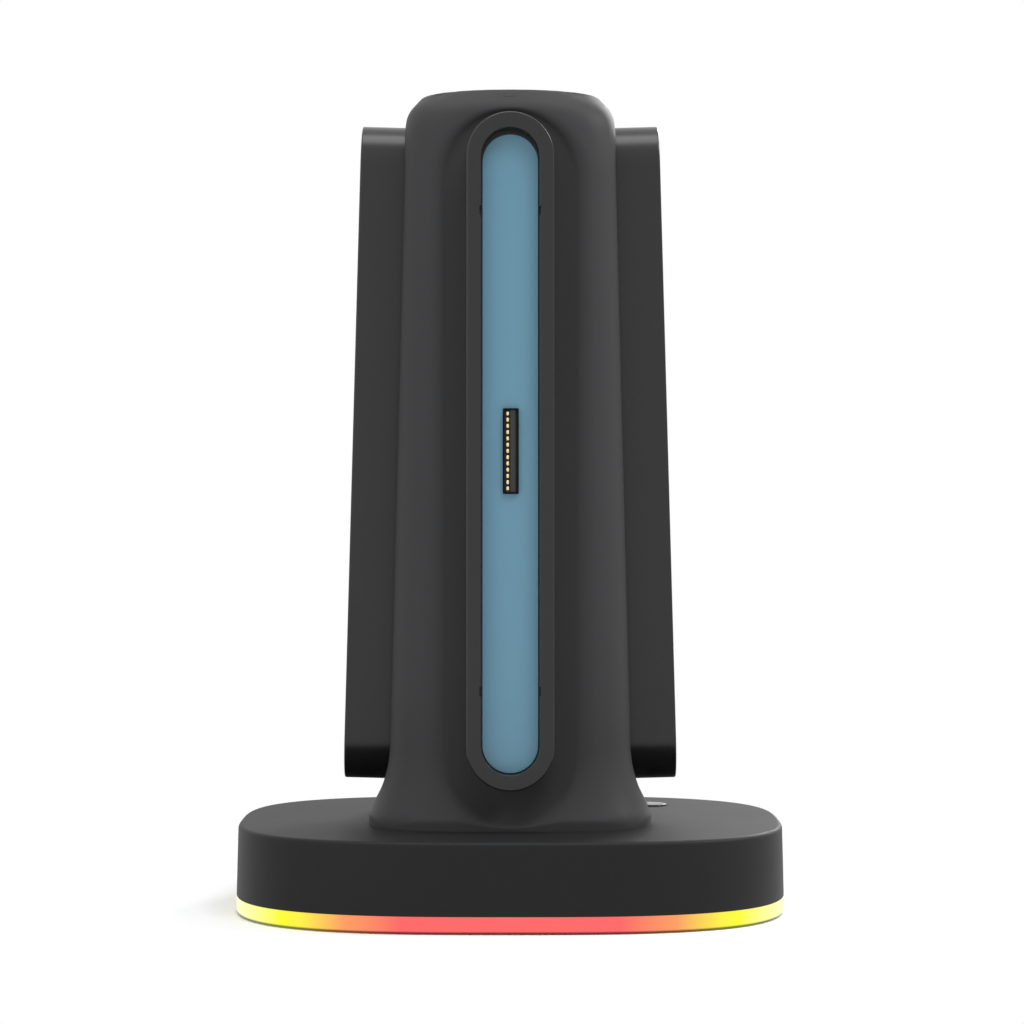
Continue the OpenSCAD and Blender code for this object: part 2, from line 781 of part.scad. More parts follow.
// Slot-shaped bar with its outer edge rounded at z = 0: a straight middle and two turned ends
module rounded_block(w, len, r, depth) {
    side_line = concat(
        [[w / 2, -depth]], corner([w / 2, -depth], [w / 2, 0], [0, 0], r, edge_steps)
    );
    other_line = [for (i = [len(side_line) - 1:-1:0]) [-side_line[i][0], side_line[i][1]]];
    end_v = (len - w) / 2;
    rotate([90, 0, 0]) linear_extrude(2 * end_v, center = true)
        polygon(concat(side_line, other_line));
    for (end = [0, 1]) rotate(180 * end) translate([0, end_v, 0])
        rotate_extrude(angle = 180) polygon(concat([[0, -depth]], side_line, [[0, 0]]));
}

module dock_block(side) {
    color(MATTE_BLACK) at_station(side) difference() {
        rounded_block(dock_w, dock_len, dock_edge_r, dock_depth);
        slot_slab(channel_w, channel_len, -strip_bottom, 1);
        difference() {
            slot_slab(dock_inner_w, dock_inner_len, -dock_depth - 1, -web_bottom);
            for (end = [-1, 1]) {
                translate([end * dock_screw_u, end * dock_screw_v, -dock_depth - 2])
                    cylinder(r = dock_boss_r, h = dock_depth + 1);
                translate([0, end * rib_v, 0]) slab(dock_w, rib_t, -dock_board_top, 0);
            }
        }
        for (end = [-1, 1]) translate([end * dock_screw_u, end * dock_screw_v, -dock_depth - 2])
            cylinder(r = dock_screw[0] + screw_gap, h = dock_depth - web_bottom + 1.8);
        translate([plug_shift, 0, 0])
            slab(plug_w + 2 * fit_gap, plug_len + 2 * fit_gap, -web_bottom - 1, 0);
        for (end = [-1, 1]) translate([0, end * notch_v, 0])
            slab(channel_w + 2 * notch_depth, notch_h, -channel_depth, -notch_drop);
    }
}

module channel_strip(side) {
    w = channel_w - 2 * strip_gap;
    len = channel_len - 2 * strip_gap - strip_top_gap;
    color(DOCK_BLUE) at_station(side) difference() {
        translate([0, -strip_top_gap / 2, 0]) slot_slab(w, len, -strip_bottom, -channel_depth);
        translate([plug_shift, 0, 0])
            slab(plug_w + 2 * fit_gap, plug_len + 2 * fit_gap, -strip_bottom - 1, 0);
    }
}

module connector(side) {
    well_w = plug_w - 2 * plug_rim;
    well_len = plug_len - 2 * plug_rim;
    top = -channel_depth + plug_proud;
    color(DARK_GREY) at_station(side) translate([plug_shift, 0, 0]) {
        difference() {
            slab(plug_w, plug_len, -dock_board_top, top);
            slab(well_w, well_len, -plug_floor, top + 1);
        }
        translate([tongue_u - plug_shift, 0, 0])
            slab(tongue_w, well_len, -plug_floor, top - 0.25);
    }
}

module contacts(side) {
    top = -channel_depth + plug_proud - 0.15;
    color(GOLD) at_station(side) for (i = [0:contact_count - 1])
        translate([contact_u, (i - (contact_count - 1) / 2) * contact_pitch, 0])
            slab(contact_size[0], contact_size[1], -plug_floor, top);
}

module dock_board(side) {
    color(BOARD_GREEN) at_station(side)
        slab(dock_board_w, dock_board_len, -dock_board_top - dock_board_t, -dock_board_top);
}

module magnets(side) {
    color(STEEL) at_station(side) for (end = [-1, 1])
        translate([0, end * magnet_v, 0])
            slab(magnet_w, magnet_len, -web_bottom - magnet_t, -web_bottom);
}

base_housing();
light_ring();
base_plate();
rubber_feet();
base_screws();
ballast_plate();
main_board();
board_parts();
board_screws();
light_board();
ring_lamps();
power_inlet();
inlet_tongue();
mode_button();
switch_plunger();
mode_switch();
tower_front_shell();
tower_rear_shell();
tower_screws();
dock_screws();
indicator_windows();
indicator_board();
indicator_lamps();
wire_harness();

dock_block(FRONT);  // front_dock_block
channel_strip(FRONT);  // front_channel_strip
connector(FRONT);  // front_connector
contacts(FRONT);  // front_contacts
dock_board(FRONT);  // front_dock_board
magnets(FRONT);  // front_magnets

dock_block(RIGHT);  // right_dock_block
channel_strip(RIGHT);  // right_channel_strip
connector(RIGHT);  // right_connector
contacts(RIGHT);  // right_contacts
dock_board(RIGHT);  // right_dock_board
magnets(RIGHT);  // right_magnets

dock_block(REAR);  // rear_dock_block
channel_strip(REAR);  // rear_channel_strip
connector(REAR);  // rear_connector
contacts(REAR);  // rear_contacts
dock_board(REAR);  // rear_dock_board
magnets(REAR);  // rear_magnets

dock_block(LEFT);  // left_dock_block
channel_strip(LEFT);  // left_channel_strip
connector(LEFT);  // left_connector
contacts(LEFT);  // left_contacts
dock_board(LEFT);  // left_dock_board
magnets(LEFT);  // left_magnets
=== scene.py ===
import math

import bmesh
import bpy
import numpy as np
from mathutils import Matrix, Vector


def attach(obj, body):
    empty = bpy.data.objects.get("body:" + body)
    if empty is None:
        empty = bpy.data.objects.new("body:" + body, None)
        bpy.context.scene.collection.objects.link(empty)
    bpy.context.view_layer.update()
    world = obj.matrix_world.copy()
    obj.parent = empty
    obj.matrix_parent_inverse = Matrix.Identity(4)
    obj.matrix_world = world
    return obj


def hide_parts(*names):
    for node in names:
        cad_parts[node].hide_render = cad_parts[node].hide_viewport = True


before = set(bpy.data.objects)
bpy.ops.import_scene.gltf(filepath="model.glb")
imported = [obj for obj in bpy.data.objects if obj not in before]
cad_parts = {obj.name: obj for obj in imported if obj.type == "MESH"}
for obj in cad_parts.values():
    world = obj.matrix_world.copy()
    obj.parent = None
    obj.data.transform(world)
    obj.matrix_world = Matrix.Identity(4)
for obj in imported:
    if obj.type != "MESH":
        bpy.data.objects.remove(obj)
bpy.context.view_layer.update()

# ---- Camera
# The dock is seen level and square from the front, with a long lens a little over half a metre away,
# at about half of the tower's height.
camera = bpy.data.objects.new("camera", bpy.data.cameras.new("camera"))
camera.location = (0.0, -0.571, 0.0697)
camera.rotation_euler = (math.radians(90), 0.0, 0.0)
camera.data.lens = 120.5
camera.data.sensor_width = 36.0
camera.data.shift_x = 0.0017
camera.data.shift_y = -0.0264
camera.data.clip_end = 50.0
bpy.context.scene.collection.objects.link(camera)
bpy.context.scene.camera = camera

# ---- Table and room
# The dock stands on a plain pale table in a white studio. The camera, metal and glass see the room as plain
# white, and the table keeps the soft shadow round the dock and fades into the white room further out.
scene = bpy.context.scene
scene.view_settings.view_transform = "Standard"


def seen_rays(net):
    """Socket that is 1 for the rays that show a background: those of the camera, of a reflection and of
    what is seen through glass."""
    rays = net.nodes.new("ShaderNodeLightPath")
    first, both = (net.nodes.new("ShaderNodeMath") for _ in range(2))
    first.operation = both.operation = "MAXIMUM"
    net.links.new(rays.outputs["Is Camera Ray"], first.inputs[0])
    net.links.new(rays.outputs["Is Glossy Ray"], first.inputs[1])
    net.links.new(first.outputs["Value"], both.inputs[0])
    net.links.new(rays.outputs["Is Transmission Ray"], both.inputs[1])
    return both.outputs["Value"]


room = bpy.data.worlds.new("white room")
room.use_nodes = True
scene.world = room
net = room.node_tree
net.nodes.clear()
soft_room, white_room = (net.nodes.new("ShaderNodeBackground") for _ in range(2))
soft_room.inputs["Color"].default_value = (0.97, 0.98, 1.0, 1)
soft_room.inputs["Strength"].default_value = 0.68
white_room.inputs["Color"].default_value = (1, 1, 1, 1)
either = net.nodes.new("ShaderNodeMixShader")
out = net.nodes.new("ShaderNodeOutputWorld")
net.links.new(seen_rays(net), either.inputs["Fac"])
net.links.new(soft_room.outputs["Background"], either.inputs[1])
net.links.new(white_room.outputs["Background"], either.inputs[2])
net.links.new(either.outputs["Shader"], out.inputs["Surface"])

TABLE_HALF = 6.0
SHADOW_NEAR, SHADOW_FAR = 0.044, 0.075
table_mesh = bpy.data.meshes.new("table top")
table_corners = [(x * TABLE_HALF, y * TABLE_HALF, 0) for x, y in ((-1, -1), (1, -1), (1, 1), (-1, 1))]
table_mesh.from_pydata(table_corners, [], [(0, 1, 2, 3)])
table_top = bpy.data.objects.new("table_top", table_mesh)
scene.collection.objects.link(table_top)
table_white = bpy.data.materials.new("table white")
table_white.use_nodes = True
net = table_white.node_tree
net.nodes.clear()
place = net.nodes.new("ShaderNodeTexCoord")
far = net.nodes.new("ShaderNodeVectorMath")
far.operation = "LENGTH"
fade = net.nodes.new("ShaderNodeMapRange")
fade.interpolation_type = "SMOOTHSTEP"
fade.inputs["From Min"].default_value = SHADOW_NEAR
fade.inputs["From Max"].default_value = SHADOW_FAR
share = net.nodes.new("ShaderNodeMath")
share.operation = "MULTIPLY"
paint = net.nodes.new("ShaderNodeBsdfDiffuse")
paint.inputs["Color"].default_value = (0.8, 0.8, 0.8, 1)
white = net.nodes.new("ShaderNodeEmission")
white.inputs["Strength"].default_value = 1.0
either = net.nodes.new("ShaderNodeMixShader")
out = net.nodes.new("ShaderNodeOutputMaterial")
net.links.new(place.outputs["Object"], far.inputs[0])
net.links.new(far.outputs["Value"], fade.inputs["Value"])
net.links.new(seen_rays(net), share.inputs[0])
net.links.new(fade.outputs["Result"], share.inputs[1])
net.links.new(share.outputs["Value"], either.inputs["Fac"])
net.links.new(paint.outputs["BSDF"], either.inputs[1])
net.links.new(white.outputs["Emission"], either.inputs[2])
net.links.new(either.outputs["Shader"], out.inputs["Surface"])
table_mesh.materials.append(table_white)


def softbox(name, place, target, width, height, watts):
    """Flat lamp of width by height metres at place, turned so that it faces target."""
    lamp = bpy.data.lights.new(name, "AREA")
    lamp.shape = "RECTANGLE"
    lamp.size, lamp.size_y = width, height
    lamp.energy = watts
    holder = bpy.data.objects.new(name, lamp)
    line = Vector(target) - Vector(place)
    holder.location = place
    holder.rotation_euler = line.to_track_quat("-Z", "Y").to_euler()
    scene.collection.objects.link(holder)
    return holder


softbox("overhead", (0.0, -0.065, 0.95), (0, 0, 0.07), 0.8, 0.44, 4.0)
front_above = softbox("front_above", (0.2, -0.55, 0.84), (0, 0, 0.1), 0.5, 0.3, 3.2)
front_above.visible_glossy = False  # it fills the coves, and draws no second streak on the blocks' ends
softbox("left_front", (-0.7, -0.75, 0.45), (0, 0, 0.07), 0.9, 1.1, 2.4)
softbox("right_side", (0.7, 0.02, 0.62), (0, 0, 0.1), 0.22, 0.22, 3.8)
softbox("right_back", (0.32, 0.75, 0.4), (0, 0, 0.12), 0.24, 0.28, 2.6)

# ---- Base plate and what the base holds
# The bottom of the base is a moulded black plate. It carries a cold-rolled steel plate against tipping, the
# main board with its chips and sockets, and the light board with its row of lamps.
MM = 0.001
BUMP_HEIGHT = 0.01 * MM


def srgb(red, green, blue):
    """Linear colour of a screen colour whose parts go from 0 to 255."""
    parts = np.array([red, green, blue]) / 255.0
    linear = np.where(parts <= 0.04045, parts / 12.92, ((parts + 0.055) / 1.055) ** 2.4)
    return (*[float(x) for x in linear], 1.0)


def moulded(name, colour, roughness, grain=0.12, depth=0.5, spread=0.06, specular=0.5):
    """Moulded plastic with the fine grain of an eroded mould. The colour drifts by the share spread and the
    roughness by 0.03 over the piece, and a noise with grains of grain millimetres bumps it by the share
    depth of the bump's height."""
    made = bpy.data.materials.new(name)
    made.use_nodes = True
    net = made.node_tree
    skin = net.nodes["Principled BSDF"]
    skin.inputs["Specular IOR Level"].default_value = specular
    place = net.nodes.new("ShaderNodeTexCoord")
    drift = net.nodes.new("ShaderNodeTexNoise")
    drift.inputs["Scale"].default_value = 45.0
    drift.inputs["Detail"].default_value = 3.0
    shade = net.nodes.new("ShaderNodeMix")
    shade.data_type = "RGBA"
    shade.inputs["A"].default_value = tuple(c * (1 - spread) for c in colour[:3]) + (1,)
    shade.inputs["B"].default_value = tuple(min(c * (1 + spread), 1) for c in colour[:3]) + (1,)
    sheen = net.nodes.new("ShaderNodeMapRange")
    sheen.inputs["To Min"].default_value = roughness - 0.03
    sheen.inputs["To Max"].default_value = roughness + 0.03
    grains = net.nodes.new("ShaderNodeTexNoise")
    grains.inputs["Scale"].default_value = 1.0 / (grain * MM)
    grains.inputs["Detail"].default_value = 2.0
    bump = net.nodes.new("ShaderNodeBump")
    bump.inputs["Strength"].default_value = depth
    bump.inputs["Distance"].default_value = BUMP_HEIGHT
    net.links.new(place.outputs["Object"], drift.inputs["Vector"])
    net.links.new(place.outputs["Object"], grains.inputs["Vector"])
    net.links.new(drift.outputs["Fac"], shade.inputs["Factor"])
    net.links.new(drift.outputs["Fac"], sheen.inputs["Value"])
    net.links.new(shade.outputs["Result"], skin.inputs["Base Color"])
    net.links.new(sheen.outputs["Result"], skin.inputs["Roughness"])
    net.links.new(grains.outputs["Fac"], bump.inputs["Height"])
    net.links.new(bump.outputs["Normal"], skin.inputs["Normal"])
    return made


def rolled(name, colour, roughness, lines=(1.0, 14.0, 1.0), depth=0.25):
    """Metal with fine lines left by rolling or turning: a noise squeezed by lines along each axis drives the
    shade, the roughness and a shallow bump."""
    made = bpy.data.materials.new(name)
    made.use_nodes = True
    net = made.node_tree
    skin = net.nodes["Principled BSDF"]
    skin.inputs["Metallic"].default_value = 1.0
    place = net.nodes.new("ShaderNodeTexCoord")
    stretch = net.nodes.new("ShaderNodeMapping")
    stretch.inputs["Scale"].default_value = lines
    streaks = net.nodes.new("ShaderNodeTexNoise")
    streaks.inputs["Scale"].default_value = 900.0
    streaks.inputs["Detail"].default_value = 4.0
    shade = net.nodes.new("ShaderNodeMix")
    shade.data_type = "RGBA"
    shade.inputs["A"].default_value = tuple(c * 0.88 for c in colour[:3]) + (1,)
    shade.inputs["B"].default_value = colour
    sheen = net.nodes.new("ShaderNodeMapRange")
    sheen.inputs["To Min"].default_value = roughness - 0.06
    sheen.inputs["To Max"].default_value = roughness + 0.08
    bump = net.nodes.new("ShaderNodeBump")
    bump.inputs["Strength"].default_value = depth
    bump.inputs["Distance"].default_value = BUMP_HEIGHT
    net.links.new(place.outputs["Object"], stretch.inputs["Vector"])
    net.links.new(stretch.outputs["Vector"], streaks.inputs["Vector"])
    net.links.new(streaks.outputs["Fac"], shade.inputs["Factor"])
    net.links.new(streaks.outputs["Fac"], sheen.inputs["Value"])
    net.links.new(shade.outputs["Result"], skin.inputs["Base Color"])
    net.links.new(sheen.outputs["Result"], skin.inputs["Roughness"])
    net.links.new(streaks.outputs["Fac"], bump.inputs["Height"])
    net.links.new(bump.outputs["Normal"], skin.inputs["Normal"])
    return made


def finish_node(node, material):
    """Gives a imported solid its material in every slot."""
    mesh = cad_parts[node].data
    mesh.materials.clear()
    mesh.materials.append(material)


black_plate = moulded("black plate", srgb(34, 34, 35), 0.55, grain=0.25, depth=0.8)
foot_rubber = moulded("foot rubber", srgb(26, 26, 26), 0.75, grain=0.3, depth=0.6, specular=0.3)
cold_rolled = rolled("cold rolled steel", (0.42, 0.42, 0.44, 1), 0.38)
solder_mask = moulded("solder mask", srgb(18, 86, 54), 0.3, grain=0.5, depth=0.3)
chip_black = moulded("chip black", srgb(28, 28, 30), 0.5)
lamp_resin = moulded("lamp resin", srgb(238, 233, 205), 0.25, grain=0.4, depth=0.2)
zinc = rolled("zinc plate", (0.58, 0.59, 0.62, 1), 0.3, lines=(1, 1, 6))
finish_node("base_plate", black_plate)
finish_node("ballast_plate", cold_rolled)
finish_node("main_board", solder_mask)
finish_node("light_board", solder_mask)
finish_node("board_parts", chip_black)
finish_node("ring_lamps", lamp_resin)
for screws in ("board_screws", "tower_screws", "dock_screws"):
    finish_node(screws, zinc)

# ---- Light ring
# A frosted diffuser runs round the bottom edge of the base. The lamps behind it light it coral in the
# middle, through orange and yellow to a pale yellow at the sides. It is held by a lip behind the base wall.
BASE_W, BASE_D, SQUARENESS = 90.0, 81.4, 3.0
RING_LOW, RING_TOP, RING_T = 0.3, 2.8, 3.0
LIP_OUT, LIP_IN, LIP_TOP = 2.45, 3.25, 4.4
# The glow drops to about a fifth along the diffuser's rounded bottom edge, between the two heights given here.
# This is a painted contact shadow where it meets the table.
SHADED_GLOW, RING_BRIGHT, SHADE_LOW, SHADE_TOP = 0.2, 0.97, 0.32, 0.6


def base_oval(angle, inset=0.0):
    """Point of the base's outline in direction angle from the axis, where |x / a|^n + |y / b|^n = 1 and a and
    b are the half sizes less the inset."""
    a, b = BASE_W / 2 - inset, BASE_D / 2 - inset
    c, s = np.cos(angle), np.sin(angle)
    r = (np.abs(c / a) ** SQUARENESS + np.abs(s / b) ** SQUARENESS) ** (-1 / SQUARENESS)
    return np.stack([r * c, r * s], -1)


def quads(rows, columns, wrap_rows=False):
    """Faces of a grid of points: each joins a point, the next along its row and the two below them. Each row
    runs on from its end to its start, and with wrap_rows the last row joins the first."""
    r = np.arange(rows if wrap_rows else rows - 1)[:, None]
    c = np.arange(columns)[None, :]
    below, beside = (r + 1) % rows, (c + 1) % columns
    corners = [r * columns + c, r * columns + beside, below * columns + beside, below * columns + c]
    return np.stack(np.broadcast_arrays(*corners), -1).reshape(-1, 4)


def close_up(mesh):
    """Merges the points that meet, closes open ends with one face each and turns all faces outwards."""
    work = bmesh.new()
    work.from_mesh(mesh)
    bmesh.ops.remove_doubles(work, verts=work.verts, dist=1e-7)
    bmesh.ops.dissolve_degenerate(work, dist=1e-8, edges=work.edges)
    bmesh.ops.holes_fill(work, edges=[e for e in work.edges if e.is_boundary], sides=0)
    bmesh.ops.recalc_face_normals(work, faces=work.faces)
    work.to_mesh(mesh)
    work.free()


def piece(name, points, faces, material, crease=32):
    """Smooth mesh object from points in millimetres and faces by corner numbers. Edges that turn by more
    than crease degrees stay sharp."""
    mesh = bpy.data.meshes.new(name)
    mesh.from_pydata((np.asarray(points, float).reshape(-1, 3) * MM).tolist(), [], faces.tolist())
    close_up(mesh)
    mesh.polygons.foreach_set("use_smooth", np.ones(len(mesh.polygons), bool))
    mesh.set_sharp_from_angle(angle=math.radians(crease))
    mesh.materials.append(material)
    made = bpy.data.objects.new(name, mesh)
    scene.collection.objects.link(made)
    return made


def round_corner(before, corner, after, radius, steps):
    """Points of the arc of that radius that touches both lines at a corner of a profile."""
    u = (before - corner) / np.linalg.norm(before - corner)
    v = (after - corner) / np.linalg.norm(after - corner)
    half = math.acos(float(np.clip(u @ v, -1, 1))) / 2
    middle = corner + (u + v) / np.linalg.norm(u + v) * radius / math.sin(half)
    first = corner + u * radius / math.tan(half) - middle
    last = corner + v * radius / math.tan(half) - middle
    t = np.linspace(0, 1, steps + 1)[:, None]
    swing = math.pi - 2 * half
    return middle + (np.sin((1 - t) * swing) * first + np.sin(t * swing) * last) / math.sin(swing)


def rounded_line(corners, radii, steps=6):
    """Profile through corners, each rounded by its radius, where 0 leaves it sharp."""
    corners = np.asarray(corners, float)
    line = [corners[:1]]
    for before, corner, after, radius in zip(corners, corners[1:], corners[2:], radii):
        line.append(round_corner(before, corner, after, radius, steps) if radius else corner[None])
    return np.concatenate(line + [corners[-1:]])


def at_height(plan, z):
    """Ring of the points of a plan at height z."""
    return np.column_stack([plan, np.full(len(plan), z)])


def oval_band(profile, count):
    """Rings of the base's outline, one for each inset and height of the profile, of count points each."""
    angle = np.linspace(0, 2 * np.pi, count, endpoint=False)
    return np.stack([at_height(base_oval(angle, inset), z) for inset, z in profile])


ring_corners = [(RING_T / 2, RING_LOW), (0, RING_LOW), (0, RING_TOP), (LIP_OUT, RING_TOP), (LIP_OUT, LIP_TOP),
                (LIP_IN, LIP_TOP), (LIP_IN, RING_TOP), (RING_T, RING_TOP), (RING_T, RING_LOW),
                (RING_T / 2, RING_LOW)]
ring_points = oval_band(rounded_line(ring_corners, [0.35, 0.12, 0, 0, 0, 0, 0, 0])[:-1], 360)

# coral out to 17 mm from the middle, then orange, yellow, lemon, pale yellow and cream
coral = (255, 99, 99)
glow_stops = [(0.0, coral), (17.0, coral), (26.0, (255, 158, 92)), (33.0, (255, 243, 61)),
              (36.0, (253, 254, 24)), (42.0, (253, 254, 168)), (45.0, (253, 250, 206))]
lit = bpy.data.materials.new("lit diffuser")
lit.use_nodes = True
net = lit.node_tree
skin = net.nodes["Principled BSDF"]
skin.inputs["Base Color"].default_value = (0.02, 0.018, 0.018, 1)
skin.inputs["Roughness"].default_value = 0.5
skin.inputs["Specular IOR Level"].default_value = 0.1
place = net.nodes.new("ShaderNodeTexCoord")
split = net.nodes.new("ShaderNodeSeparateXYZ")
across = net.nodes.new("ShaderNodeMath")
across.operation = "ABSOLUTE"
share = net.nodes.new("ShaderNodeMath")
share.operation = "MULTIPLY"
share.inputs[1].default_value = 1 / (BASE_W / 2 * MM)
ramp = net.nodes.new("ShaderNodeValToRGB")
for stop, colour in glow_stops[1:-1]:
    ramp.color_ramp.elements.new(stop / (BASE_W / 2))
for element, (stop, colour) in zip(ramp.color_ramp.elements, glow_stops):
    element.position = stop / (BASE_W / 2)
    element.color = srgb(*colour)
# Painted contact shadow: the emission fades towards the diffuser's bottom edge, which draws a dark line where
# it meets the table.
contact_shade = net.nodes.new("ShaderNodeMapRange")
contact_shade.inputs["From Min"].default_value = SHADE_LOW * MM
contact_shade.inputs["From Max"].default_value = SHADE_TOP * MM
contact_shade.inputs["To Min"].default_value = SHADED_GLOW
contact_shade.inputs["To Max"].default_value = RING_BRIGHT
frost = net.nodes.new("ShaderNodeTexNoise")
frost.inputs["Scale"].default_value = 2500.0
frost_bump = net.nodes.new("ShaderNodeBump")
frost_bump.inputs["Strength"].default_value = 0.3
frost_bump.inputs["Distance"].default_value = 2 * BUMP_HEIGHT
net.links.new(place.outputs["Object"], split.inputs["Vector"])
net.links.new(split.outputs["X"], across.inputs[0])
net.links.new(across.outputs["Value"], share.inputs[0])
net.links.new(share.outputs["Value"], ramp.inputs["Fac"])
net.links.new(ramp.outputs["Color"], skin.inputs["Emission Color"])
net.links.new(split.outputs["Z"], contact_shade.inputs["Value"])
net.links.new(contact_shade.outputs["Result"], skin.inputs["Emission Strength"])
net.links.new(place.outputs["Object"], frost.inputs["Vector"])
net.links.new(frost.outputs["Fac"], frost_bump.inputs["Height"])
net.links.new(frost_bump.outputs["Normal"], skin.inputs["Normal"])

light_ring = piece("light_ring_diffuser", ring_points, quads(*ring_points.shape[:2], wrap_rows=True), lit)
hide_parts("light_ring")
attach(light_ring, "dock")

# ---- Feet and base screws
# Four moulded rubber feet with rounded rims sit in the bottom's seats. Four zinc-plated screws, sunk in the
# bottom beside them, hold it to the base, each with a cross recess in its flat head.
FOOT_R, FOOT_H, FOOT_AT = 5.0, 1.3, (24.0, 26.5)
HEAD_R, HEAD_LOW, HEAD_TOP, HEAD_EDGE = 2.4, 0.4, 1.6, 0.2
CORE_R, CORE_TOP, SCREW_AT = 1.25, 7.6, (32.0, 15.0)
CROSS_R, CROSS_DEPTH = 1.35, 0.8


def round_ring(r, z, count=72):
    """Ring of radius r about the z axis, at height z."""
    t = np.linspace(0, 2 * np.pi, count, endpoint=False)
    return at_height(np.column_stack([r * np.cos(t), r * np.sin(t)]), z)


def turned_piece(name, profile, centre, material, count=96):
    """Piece turned on a lathe: a profile of radius and height carried round an upright axis at centre."""
    points = np.stack([round_ring(r, z, count) for r, z in profile]) + [*centre, 0]
    return piece(name, points, quads(*points.shape[:2]), material)


def at_corners(place):
    """The four places at plus and minus the two distances of place."""
    return [(x * place[0], y * place[1]) for x in (-1, 1) for y in (-1, 1)]


def recess_ring(size, z, count=72):
    """Outline of a cross with four round arms, r = size (0.3 + 0.7 |cos 2t|^4), at height z."""
    t = np.linspace(0, 2 * np.pi, count, endpoint=False)
    return round_ring(size * (0.3 + 0.7 * np.abs(np.cos(2 * t)) ** 4), z, count)


foot_line = rounded_line([(0.5, 0), (FOOT_R, 0), (FOOT_R, FOOT_H), (0.5, FOOT_H)], [0.25, 0.1])
for number, place in enumerate(at_corners(FOOT_AT), 1):
    foot = turned_piece(f"rubber_foot_{number}", foot_line, place, foot_rubber)
    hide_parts("rubber_feet")
    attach(foot, "dock")

screw_corners = [(CORE_R, CORE_TOP), (CORE_R, HEAD_TOP), (HEAD_R, HEAD_TOP), (HEAD_R, HEAD_LOW),
                 (HEAD_R - 0.5, HEAD_LOW)]
screw_rings = [round_ring(r, z) for r, z in rounded_line(screw_corners, [0, 0, HEAD_EDGE])]
recess = [(CROSS_R, 0), (CROSS_R - 0.07, 0.06), (CROSS_R - 0.6, CROSS_DEPTH)]
screw_points = np.stack(screw_rings + [recess_ring(size, HEAD_LOW + up) for size, up in recess])
for number, place in enumerate(at_corners(SCREW_AT), 1):
    screw = piece(f"base_screw_{number}", screw_points + [*place, 0], quads(*screw_points.shape[:2]), zinc)
    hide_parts("base_screws")
    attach(screw, "dock")

# ---- Base housing
# The base is one black moulding with a fine satin grain, an upper edge rounded to 0.7 mm and a wall with a
# slight draft. Its top has the mode button's hole, and its rear wall the mouth for the power inlet.
BASE_TOP, DRAFT, BASE_EDGE, BASE_WALL = 14.3, 0.3, 0.7, 2.0
CEILING, WALL_INSET = BASE_TOP - BASE_WALL, 2.3
BUTTON_AT, BUTTON_R = np.array([24.1, 22.0]), 2.9
HOLE_R, HOLE_EDGE = BUTTON_R + 0.08, 0.12
MOUTH_W, MOUTH_H, MOUTH_Z, MOUTH_GAP = 8.94, 3.2, 9.2, 0.06

base_black = moulded("base black", srgb(20, 20, 21), 0.56, grain=0.14, depth=0.45, specular=0.2)
angle = np.linspace(0, 2 * np.pi, 480, endpoint=False)
edge_corners = [(DRAFT + 3, BASE_TOP), (DRAFT, BASE_TOP), (0, RING_TOP), (WALL_INSET, RING_TOP)]
edge_line = rounded_line(edge_corners, [BASE_EDGE, 0.12])
edge_rings = [at_height(base_oval(angle, inset), z) for inset, z in edge_line[1:-1]]
rim_line = base_oval(angle, edge_line[1][0])
ray = rim_line - BUTTON_AT
heading = ray / np.linalg.norm(ray, axis=1, keepdims=True)
hole_line = [(0, CEILING), (0, BASE_TOP - HOLE_EDGE), (0.04, BASE_TOP - 0.04), (HOLE_EDGE, BASE_TOP)]
hole_rings = [at_height(BUTTON_AT + heading * (HOLE_R + out), z) for out, z in hole_line]
near = BUTTON_AT + heading * (HOLE_R + HOLE_EDGE)
spread = 1 - (1 - np.linspace(0, 1, 26)[1:-1]) ** 1.6
top_rings = [at_height(near + (rim_line - near) * f, BASE_TOP) for f in spread]
inside = [at_height(base_oval(angle, WALL_INSET), z) for z in (RING_TOP, CEILING)]
housing_points = np.stack(hole_rings + top_rings + edge_rings + inside)
base_shell = piece("base_shell", housing_points, quads(*housing_points.shape[:2], wrap_rows=True), base_black)


def slot_line(width, length, count=24):
    """Outline of a slot with full round ends, its length along the first axis."""
    t = np.linspace(-np.pi / 2, np.pi / 2, count)
    right = np.column_stack([np.cos(t), np.sin(t)]) * width / 2 + [(length - width) / 2, 0]
    return np.concatenate([right, -right])


def rearward(line, y):
    """Ring of an outline of x and height, at depth y and about the height of the inlet's middle."""
    return np.column_stack([line[:, 0], np.full(len(line), y), line[:, 1] + MOUTH_Z])


mouth_line = slot_line(MOUTH_H + 2 * MOUTH_GAP, MOUTH_W + 2 * MOUTH_GAP)
mouth_points = np.stack([rearward(mouth_line, y) for y in (34.0, 44.0)])
mouth = piece("inlet_mouth_cutter", mouth_points, quads(*mouth_points.shape[:2]), base_black)
cut = base_shell.modifiers.new("inlet mouth", "BOOLEAN")
cut.operation = "DIFFERENCE"
cut.solver = "EXACT"
cut.object = mouth
bpy.context.view_layer.update()
carved = bpy.data.meshes.new_from_object(base_shell.evaluated_get(bpy.context.evaluated_depsgraph_get()))
base_shell.modifiers.clear()
base_shell.data = carved
bpy.data.objects.remove(mouth)
carved.set_sharp_from_angle(angle=math.radians(32))
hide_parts("base_housing")
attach(base_shell, "dock")

# ---- Power inlet
# A small oval socket in the rear wall takes the plug of the power lead: a drawn steel shell with a rolled
# lip, round a black tongue that carries gold-plated contacts on both faces.
INLET_MOUTH, INLET_BACK, INLET_FLOOR, INLET_WALL = 40.0, 32.6, 33.6, 0.3
TONGUE_W, TONGUE_T, TONGUE_END = 6.6, 0.7, 39.4
PAD_COUNT, PAD_PITCH, PAD_W, PAD_PROUD = 12, 0.5, 0.26, 0.02


